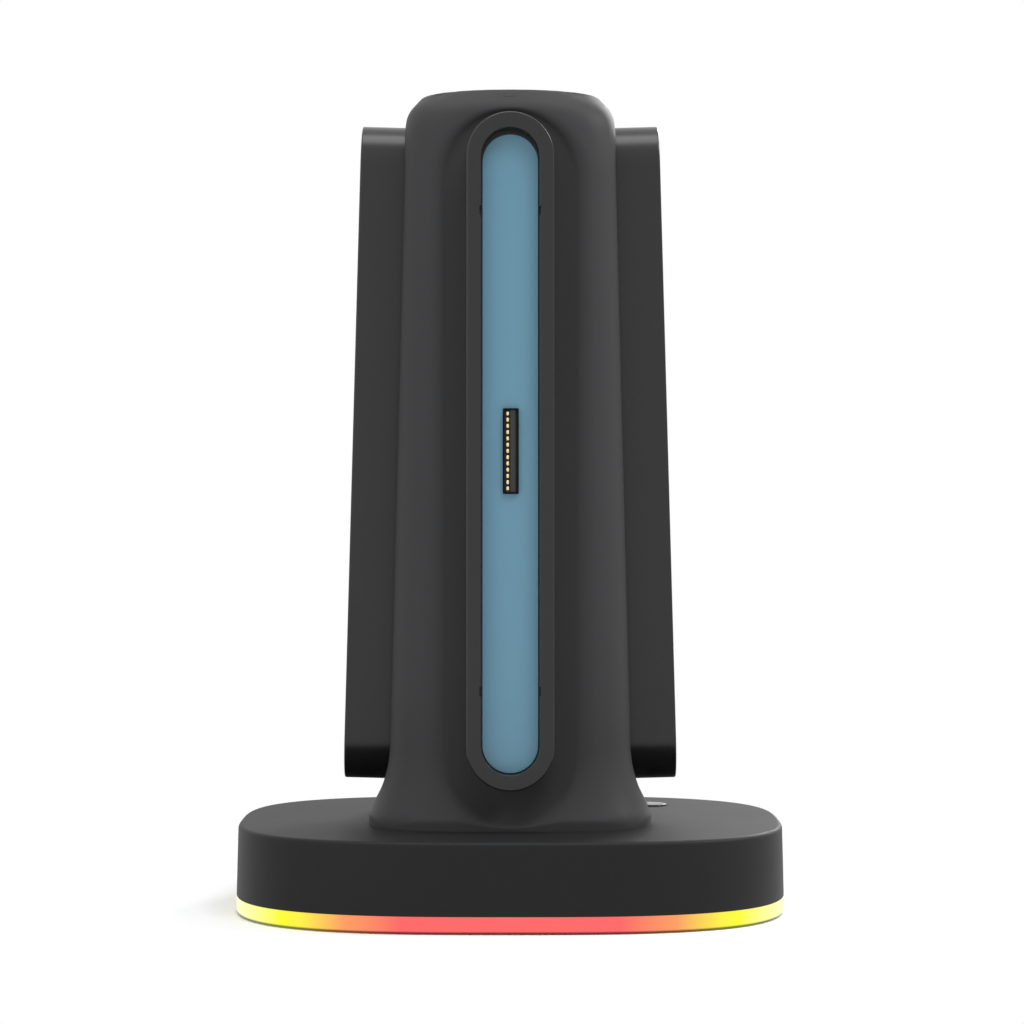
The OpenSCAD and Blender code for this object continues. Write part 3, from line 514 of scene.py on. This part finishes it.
def soft_rectangle(width, length, power=7.0, count=64):
    """Outline |x / a|^n + |y / b|^n = 1 of a rectangle with round corners, as points of x and y."""
    t = np.linspace(0, 2 * np.pi, count, endpoint=False)
    c, s = np.cos(t), np.sin(t)
    r = (np.abs(c) ** power + np.abs(s) ** power) ** (-1 / power)
    return np.column_stack([r * c * width / 2, r * s * length / 2])


def repeated(faces, times):
    """Faces of one piece repeated for as many copies, whose points follow one another."""
    return np.concatenate([faces + k * (faces.max() + 1) for k in range(times)])


lip_out = [(0, INLET_BACK), (0, INLET_MOUTH - 0.15), (0.04, INLET_MOUTH - 0.04), (INLET_WALL / 2, INLET_MOUTH)]
lip_in = [(INLET_WALL - 0.04, INLET_MOUTH - 0.04), (INLET_WALL, INLET_MOUTH - 0.15), (INLET_WALL, INLET_FLOOR)]
inlet_lines = [(slot_line(MOUTH_H - 2 * inset, MOUTH_W - 2 * inset), y) for inset, y in lip_out + lip_in]
inlet_points = np.stack([rearward(line, y) for line, y in inlet_lines])
drawn_steel = rolled("drawn steel", (0.6, 0.6, 0.62, 1), 0.3)
inlet_shell = piece("inlet_shell", inlet_points, quads(*inlet_points.shape[:2]), drawn_steel)
tongue_ends = [(0, INLET_FLOOR - 0.2), (0, TONGUE_END - 0.12), (0.04, TONGUE_END - 0.03), (0.12, TONGUE_END)]
tongue_lines = [(soft_rectangle(TONGUE_W - 2 * inset, TONGUE_T - 2 * inset, 12.0), y)
                for inset, y in tongue_ends]
tongue_points = np.stack([rearward(line, y) for line, y in tongue_lines])
tongue = piece("inlet_tongue_blade", tongue_points, quads(*tongue_points.shape[:2]), chip_black)
gold = rolled("gold plate", (0.86, 0.72, 0.42, 1), 0.25, lines=(1, 1, 1), depth=0.1)
pad_ends = [(0, INLET_FLOOR + 0.5), (0, TONGUE_END - 0.55), (0.05, TONGUE_END - 0.5)]
pad_lines = [(soft_rectangle(PAD_W - 2 * inset, TONGUE_T + 2 * PAD_PROUD, 12.0, count=24), y)
             for inset, y in pad_ends]
pad = np.stack([rearward(line, y) for line, y in pad_lines])
pad_steps = (np.arange(PAD_COUNT) - (PAD_COUNT - 1) / 2) * PAD_PITCH
pad_points = pad + np.multiply.outer(pad_steps, [1, 0, 0])[:, None, None]
tongue_pads = piece("inlet_contacts", pad_points, repeated(quads(*pad.shape[:2]), PAD_COUNT), gold)
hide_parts("power_inlet")
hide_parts("inlet_tongue")
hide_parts("inlet_tongue")
for made, finish in ((inlet_shell, "inlet_steel"), (tongue, "dark_insulator"), (tongue_pads, "gold_contact")):
    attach(made, "dock")

# ---- Mode button
# A small round cap in the base's top, right of the tower and behind it, steps the ring's colours. It presses
# a switch on the main board through a short plunger.
BUTTON_TOP, FLANGE_R, FLANGE_LOW, FLANGE_TOP = 14.65, 3.7, 11.45, 12.15

cap_corners = [(FLANGE_R, FLANGE_LOW), (FLANGE_R, FLANGE_TOP), (BUTTON_R, FLANGE_TOP),
               (BUTTON_R, BUTTON_TOP - 0.04), (0.4, BUTTON_TOP)]
button_black = moulded("button black", srgb(30, 30, 31), 0.2, grain=0.3, depth=0.1)
button_cap = turned_piece("mode_button_cap", rounded_line(cap_corners, [0, 0, 0.14]), BUTTON_AT, button_black)
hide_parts("mode_button")
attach(button_cap, "mode_button")
finish_node("switch_plunger", chip_black)
finish_node("mode_switch", rolled("switch steel", (0.6, 0.6, 0.62, 1), 0.3))

# ---- Tower
# The tower is a hollow black column moulded as a front and a rear half. Its plan is a square with round
# corners. It flares out at the foot, leans in by 1.6 degrees, and ends in a drawn-in neck, a chamfered
# shoulder and a flat crown. A dished cove frames the seat of each docking block.
TOWER_H, MID_W, MID_Z, WALL_LEAN = 133.95, 38.6, 75.2, math.radians(1.32)
FOOT_OUT, SKIRT_H, FLARE = 2.56, 1.6, math.radians(25)
NECK_DROP, NECK_LEAN, CROWN_IN, SHOULDER = 9.55, math.radians(10.3), 3.51, math.radians(37.8)
PLAN, CROWN_PLAN, PLAN_EASE = 4.0, 2.1, 3.5
REACH, LEAN, SEAT, BLOCK_W, BLOCK_LEN = 26.0, math.radians(1.59), 8.0, 14.0, 108.3
COVE_W, COVE_TOP, COVE_LOW, COVE_BEND, COVE_MARGIN = 23.5, 130.8, 15.04, math.radians(60), 0.6
SEAM_HALF, SEAM_DEPTH, ON_PLANE = 0.07, 0.1, 0.0005


def wall_half(z):
    """Half width of the leaning wall at height z."""
    return MID_W / 2 + (MID_Z - z) * math.tan(WALL_LEAN)


def wall_line():
    """Wall profile from the foot up, over the crown's edge and in over its flat top, and the height of the
    shoulder's lower edge. The bend and the shoulder's edge lie where the straight lines meet."""
    foot, skirt = wall_half(BASE_TOP) + FOOT_OUT, BASE_TOP + SKIRT_H
    flare, lean, neck, shoulder = (math.tan(slope) for slope in (FLARE, WALL_LEAN, NECK_LEAN, SHOULDER))
    bend = (foot + skirt * flare - wall_half(0)) / (flare - lean)
    neck_z = TOWER_H - NECK_DROP
    crown = wall_half(neck_z) - CROWN_IN
    shoulder_z = (crown + TOWER_H * shoulder - wall_half(neck_z) - neck_z * neck) / (shoulder - neck)
    corners = [(foot, BASE_TOP), (foot, skirt), (wall_half(bend), bend), (wall_half(neck_z), neck_z),
               (wall_half(neck_z) - (shoulder_z - neck_z) * neck, shoulder_z), (crown, TOWER_H), (9.0, TOWER_H)]
    return rounded_line(corners, [1.2, 26.0, 60.0, 5.0, 1.0], steps=24), shoulder_z


wall, shoulder_z = wall_line()
wall_run = np.concatenate([[0], np.cumsum(np.linalg.norm(np.diff(wall, axis=0), axis=1))])
upright = wall[:, 1] < TOWER_H - 1e-6


def plan_power(z):
    """Power of the plan at height z: 4, a square with round corners, up to a little below the shoulder, and
    from there eased down to nearly 2, a circle, at the crown."""
    rise = np.clip((z - shoulder_z + PLAN_EASE) / (TOWER_H - shoulder_z + PLAN_EASE), 0, 1)
    return PLAN + (CROWN_PLAN - PLAN) * rise ** 2 * (1.6 - 0.6 * rise)


def wall_point(turn, run):
    """Point of the outer wall: run is the way along the profile and turn the angle from the side's middle.
    The plan is |x|^n + |y|^n = a^n with the profile's half width a and the plan's power n there."""
    a, z = np.interp(run, wall_run, wall[:, 0]), np.interp(run, wall_run, wall[:, 1])
    n = plan_power(z)
    r = a * (np.abs(np.sin(turn)) ** n + np.abs(np.cos(turn)) ** n) ** (-1 / n)
    return np.stack([r * np.sin(turn), -r * np.cos(turn), z], -1)


def station(u, v, w):
    """Point of a docking station as the tower's point: u across the block, v up it, w out of its face."""
    y = -REACH + v * math.sin(LEAN) - w * math.cos(LEAN)
    z = MID_Z + v * math.cos(LEAN) + w * math.sin(LEAN)
    return np.stack(np.broadcast_arrays(u, y, z), -1)


def slot_columns(sides, ends, extra=()):
    """Columns round a slot, as the outward way (nx, ny) and the place e from -1 to 1 along its straight
    sides. The extra places come as columns of their own."""
    straight = np.unique(np.concatenate([np.linspace(-1, 1, sides + 1)[1:-1], np.asarray(extra, float)]))
    t = np.linspace(0, np.pi, ends + 1)
    nx = np.concatenate([np.ones(straight.size), np.cos(t), -np.ones(straight.size), -np.cos(t)])
    ny = np.concatenate([np.zeros(straight.size), np.sin(t), np.zeros(straight.size), -np.sin(t)])
    e = np.concatenate([straight, np.ones(t.size), -straight, -np.ones(t.size)])
    return nx, ny, e


def slot_point(columns, width, length, w, shift=0.0):
    """Ring round a slot of that width and length at depth w in the station's frame."""
    nx, ny, e = columns
    return station(nx * width / 2, shift + e * (length - width) / 2 + ny * width / 2, w)


def cove_rim(columns, height):
    """Ring straight out of the cove's outline, at a height above the seat for each column."""
    return slot_point(columns, COVE_W, COVE_TOP - COVE_LOW, height - SEAT, (COVE_TOP + COVE_LOW) / 2 - MID_Z)


def rim_height(columns):
    """Height above the seat at which the cove's outline meets the outer wall, found by halving."""
    low, high = np.zeros(columns[0].size), np.full(columns[0].size, SEAT)
    for _ in range(45):
        mid = (low + high) / 2
        x, y, z = np.moveaxis(cove_rim(columns, mid), -1, 0)
        a, n = np.interp(z, wall[upright, 1], wall[upright, 0], right=1.0), plan_power(z)
        within = np.abs(x) ** n + np.abs(y) ** n < a ** n
        low, high = np.where(within, mid, low), np.where(within, high, mid)
    return low


def tower_quarter():
    """One side of the tower as rows of columns: the seat's edge, the dish, its softly rounded rim, and the
    outer wall from the rim out to the side's corners, the crown and the foot. The dish rises from the seat
    to the rim as an ellipse's arc, out by sin(bend) and up by 1 - cos(bend), bent by 60 degrees at the rim."""
    columns = slot_columns(70, 72)
    nx, ny, e = columns
    depth = rim_height(columns)
    rim = cove_rim(columns, depth)
    turn = np.arctan2(rim[:, 0], -rim[:, 1])
    run = np.interp(rim[:, 2], wall[upright, 1], wall_run[upright])
    corner_turn, run_top = math.pi / 4, wall_run[-1]
    side_turn = np.sign(nx) * corner_turn
    upper, lower = run[np.argmax(e == 1)], run[-1]
    rise = np.clip(np.abs(ny) / np.maximum(np.abs(nx), 1e-9), 0, 1)
    lean_in = np.clip(nx / np.maximum(np.abs(ny), 1e-9), -1, 1)
    to_turn = np.where(ny == 0, side_turn, corner_turn * lean_in)
    to_run = np.where(e == 1, upper + (run_top - upper) * rise, np.where(e == -1, lower * (1 - rise), run))
    away = np.hypot((to_turn - turn) * 20.0, to_run - run)
    seat = slot_point(columns, BLOCK_W + 2 * COVE_MARGIN, BLOCK_LEN + 2 * COVE_MARGIN, -SEAT)
    floor_rim = cove_rim(columns, 0.0)
    breadth = np.linalg.norm(floor_rim - seat, axis=1)
    soft = np.minimum(np.minimum(1.6, 0.35 * away), 0.4 * breadth)
    start = soft / away
    dish_end = COVE_BEND * (1 - 1.2 * soft / breadth)
    out_of_seat = station(0.0, 0.0, 1.0) - station(0.0, 0.0, 0.0)
    rows = [slot_point(columns, BLOCK_W - 0.6, BLOCK_LEN - 0.6, -SEAT)]
    for bend in np.linspace(0, 1, 13)[:, None] * dish_end:
        plan = np.sin(bend) / math.sin(COVE_BEND)
        lift = depth * (1 - np.cos(bend)) / (1 - math.cos(COVE_BEND))
        rows.append(seat + plan[:, None] * (floor_rim - seat) + lift[:, None] * out_of_seat)
    inner, outer = rows[-1], wall_point(turn + start * (to_turn - turn), run + start * (to_run - run))
    for q in np.linspace(0, 1, 8)[1:-1]:
        rows.append((1 - q) ** 2 * inner + 2 * q * (1 - q) * rim + q * q * outer)
    for q in np.linspace(0, 1, 27):
        f = start + (1 - start) * q
        rows.append(wall_point(turn + f * (to_turn - turn), run + f * (to_run - run)))
    return np.stack(rows)


def quarter_turn(points, side):
    """Points turned about the tower's axis by side quarter turns."""
    c, s = [(1, 0), (0, 1), (-1, 0), (0, -1)][side]
    x, y, z = np.moveaxis(points, -1, 0)
    return np.stack([c * x - s * y, s * x + c * y, z], -1)


def push_seam(mesh):
    """Pushes the points on the cut, where y = 0, in by the seam's depth against their normals, laid flat in
    the cut. With the skin that starts to sink half a seam's width before it, this is half of a V groove."""
    points, normals = np.empty(3 * len(mesh.vertices)), np.empty(3 * len(mesh.vertices))
    mesh.vertices.foreach_get("co", points)
    mesh.vertex_normals.foreach_get("vector", normals)
    points, inward = points.reshape(-1, 3), -normals.reshape(-1, 3) * [1, 0, 1]
    cut = np.abs(points[:, 1]) < ON_PLANE * MM
    points[cut] += inward[cut] / np.linalg.norm(inward[cut], axis=1, keepdims=True) * SEAM_DEPTH * MM
    mesh.vertices.foreach_set("co", points.ravel())


tower_black = moulded("tower black", srgb(50, 50, 51), 0.55, grain=0.14, depth=0.45, specular=0.15)
quarter = tower_quarter()
tower_points = np.stack([quarter_turn(quarter, side) for side in range(4)])
tower = piece("tower_column", tower_points, repeated(quads(*quarter.shape[:2]), 4), tower_black, crease=40)
halves = (("tower_front_half", "tower_front_shell", 1), ("tower_rear_half", "tower_rear_shell", -1))
for name, node, keep in halves:
    half = bmesh.new()
    half.from_mesh(tower.data)
    for place, clear in ((-keep * SEAM_HALF * MM, False), (0, True)):
        everything = half.verts[:] + half.edges[:] + half.faces[:]
        bmesh.ops.bisect_plane(
            half, geom=everything, dist=ON_PLANE * MM, plane_co=(0, place, 0), plane_no=(0, keep, 0),
            clear_outer=clear)
    half_mesh = bpy.data.meshes.new(name)
    half.to_mesh(half_mesh)
    half.free()
    push_seam(half_mesh)
    close_up(half_mesh)
    half_mesh.set_sharp_from_angle(angle=math.radians(40))
    half_mesh.materials.append(tower_black)
    shell = bpy.data.objects.new(name, half_mesh)
    scene.collection.objects.link(shell)
    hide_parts(node)
    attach(shell, "dock")
bpy.data.objects.remove(tower)

# ---- Docking blocks
# Each side has a black moulded block with round ends, screwed to its seat in the cove. A handheld
# controller's rail slides into the sunk channel, and two small notches in each wall catch it.
CHANNEL_W, CHANNEL_LEN, CHANNEL_DEPTH, STRIP_BOTTOM = 9.3, 103.2, 3.0, 4.0
NOTCH_V, NOTCH_H, NOTCH_IN, NOTCH_LIP, NOTCH_TOP = 38.3, 1.5, 0.6, 0.22, -0.8
SIDES = ("front", "right", "rear", "left")

straight_half = (CHANNEL_LEN - CHANNEL_W) / 2
notch_ends = [NOTCH_V + t * NOTCH_H / 2 + slope for t in (-1, 1) for slope in (-0.03, 0.03)]
notch_edges = [s * end / straight_half for s in (-1, 1) for end in notch_ends]
block_columns = slot_columns(40, 64, extra=notch_edges)
outer_line = rounded_line([(0, -SEAT), (0, 0), (1.0, 0)], [0.28])
inner_line = rounded_line([(-1.0, 0), (0, 0), (0, -STRIP_BOTTOM)], [0.18])
block_rows = [slot_point(block_columns, BLOCK_W - 2 * inset, BLOCK_LEN - 2 * inset, w)
              for inset, w in outer_line[:-1]]
nx, ny, e = block_columns
in_notch = nx * (ny == 0) * (np.abs(np.abs(e * straight_half) - NOTCH_V) < NOTCH_H / 2)
lip_rows = [(inset, w, NOTCH_LIP) for inset, w in inner_line[1:-1]] + [(0, NOTCH_TOP, NOTCH_LIP)]
deep_rows = [(0, w, NOTCH_IN) for w in (NOTCH_TOP - 0.03, -CHANNEL_DEPTH, -STRIP_BOTTOM)]
for inset, w, pushed in lip_rows + deep_rows:
    row = slot_point(block_columns, CHANNEL_W - 2 * inset, CHANNEL_LEN - 2 * inset, w)
    row[:, 0] += in_notch * pushed
    block_rows.append(row)
block_rows.append(slot_point(block_columns, CHANNEL_W - 2, CHANNEL_LEN - 2, -STRIP_BOTTOM))
block_points = np.stack(block_rows)
block_faces = quads(*block_points.shape[:2])
block_black = moulded("block black", srgb(23, 23, 24), 0.28, grain=0.14, depth=0.3, specular=0.42)
for side, word in enumerate(SIDES):
    block = piece(f"{word}_block", quarter_turn(block_points, side), block_faces, block_black, crease=28)
    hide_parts(f"{word}_dock_block")
    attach(block, "dock")

# ---- Channel strips, connectors and contacts
# A smooth blue strip covers the floor of each channel. The connector's black frame stands in a slot in its
# middle. Its deep well holds a blade along the right side and thirteen sprung, gold-plated pins on the left.
FRAME_W, FRAME_LEN, FRAME_RIM, FRAME_SHIFT = 2.43, 13.6, 0.18, 0.08
FRAME_TOP, FRAME_BOTTOM, WELL_FLOOR = -2.2, -4.9, -4.6
BLADE_W, BLADE_U, BLADE_DROP = 0.87, 0.44, 0.25
PIN_COUNT, PIN_PITCH, PIN_W, PIN_LEN, PIN_U, PIN_DROP = 13, 1.0, 0.53, 0.68, -0.4, 0.15


def stacked(width, length, levels, u=0.0, v=0.0, power=7.0):
    """Rings of a soft rectangle in the station's frame, one for each inset and depth of levels."""
    lines = [soft_rectangle(width - 2 * inset, length - 2 * inset, power) for inset, w in levels]
    return np.stack([station(u + line[:, 0], v + line[:, 1], w) for line, (inset, w) in zip(lines, levels)])


dock_blue = moulded("dock blue", srgb(88, 131, 151), 0.4, grain=0.3, depth=0.2, spread=0.02)
well_black = moulded("well black", srgb(9, 9, 10), 0.6, grain=0.1, depth=0.2, specular=0.1)
blade_black = moulded("blade black", srgb(26, 26, 27), 0.4, grain=0.1, depth=0.2)
magnet_nickel = rolled("nickel plate", (0.62, 0.62, 0.62, 1), 0.25)

frame_levels = [(0, FRAME_BOTTOM), (0, FRAME_TOP - 0.05), (0.05, FRAME_TOP), (FRAME_RIM - 0.04, FRAME_TOP),
                (FRAME_RIM, FRAME_TOP - 0.04), (FRAME_RIM, WELL_FLOOR)]
frame_points = stacked(FRAME_W, FRAME_LEN, frame_levels, FRAME_SHIFT, power=24.0)
blade_top = FRAME_TOP - BLADE_DROP
blade_levels = [(0, WELL_FLOOR - 0.1), (0, blade_top - 0.08), (0.03, blade_top - 0.02), (0.08, blade_top)]
blade_points = stacked(BLADE_W, FRAME_LEN - 2 * FRAME_RIM + 0.1, blade_levels, BLADE_U, power=24.0)
pin_top = FRAME_TOP - PIN_DROP
pin_levels = [(0, WELL_FLOOR - 0.1), (0, pin_top - 0.16), (0.02, pin_top - 0.09), (0.07, pin_top - 0.04),
              (0.14, pin_top - 0.01), (0.2, pin_top)]
pin_steps = (np.arange(PIN_COUNT) - (PIN_COUNT - 1) / 2) * PIN_PITCH
pin_points = np.stack([stacked(PIN_W, PIN_LEN, pin_levels, PIN_U, v, power=4.0) for v in pin_steps])
frame_faces, blade_faces = quads(*frame_points.shape[:2]), quads(*blade_points.shape[:2])
pin_faces = repeated(quads(*pin_points.shape[1:3]), PIN_COUNT)
for side, word in enumerate(SIDES):
    frame_piece = piece(f"{word}_connector_frame", quarter_turn(frame_points, side), frame_faces, well_black)
    blade = piece(f"{word}_connector_blade", quarter_turn(blade_points, side), blade_faces, blade_black)
    contact_pins = piece(f"{word}_contact_pins", quarter_turn(pin_points, side), pin_faces, gold)
    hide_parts(f"{word}_connector")
    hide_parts(f"{word}_connector")
    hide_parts(f"{word}_contacts")
    finishes = ("dark_insulator", "dark_insulator", "gold_contact")
    for made, finish in zip((frame_piece, blade, contact_pins), finishes):
        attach(made, "dock")
    finish_node(f"{word}_channel_strip", dock_blue)
    finish_node(f"{word}_dock_board", solder_mask)
    finish_node(f"{word}_magnets", magnet_nickel)

# ---- Indicators and wiring
# A smoked window lies flush in each side of the shoulder and shows the light of a lamp on the indicator
# board. A harness runs up the middle of the tower to the four dock boards and the indicator board.
WINDOW_W, WINDOW_H, WINDOW_DROP, WINDOW_PROUD = 2.25, 0.7, 1.0, 0.03

window_run = np.interp(TOWER_H - WINDOW_DROP, wall[upright, 1], wall_run[upright])
window_half = np.interp(window_run, wall_run, wall[:, 0])


def window_ring(size, sunk):
    """Outline of a flat-sided pill laid on the shoulder, scaled by size and sunk below the skin."""
    line = slot_line(WINDOW_H, WINDOW_W) * size
    skin = wall_point(np.arctan2(line[:, 0], window_half), window_run + line[:, 1])
    return skin - sunk * np.array([0, -math.cos(SHOULDER), math.sin(SHOULDER)])


face_rings = [window_ring(size, -WINDOW_PROUD) for size in (0.97, 0.6, 0.2)]
window_points = np.stack([window_ring(1, 0.5), window_ring(1, 0)] + face_rings)
window_faces = quads(*window_points.shape[:2])
smoked = moulded("smoked window", srgb(10, 10, 12), 0.3, grain=0.5, depth=0.1, specular=0.2)
for side, word in enumerate(SIDES):
    window = piece(f"{word}_indicator_window", quarter_turn(window_points, side), window_faces, smoked)
    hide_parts("indicator_windows")
    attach(window, "dock")
finish_node("indicator_board", solder_mask)
finish_node("indicator_lamps", lamp_resin)
finish_node("wire_harness", moulded("cable jacket", srgb(30, 30, 30), 0.6))
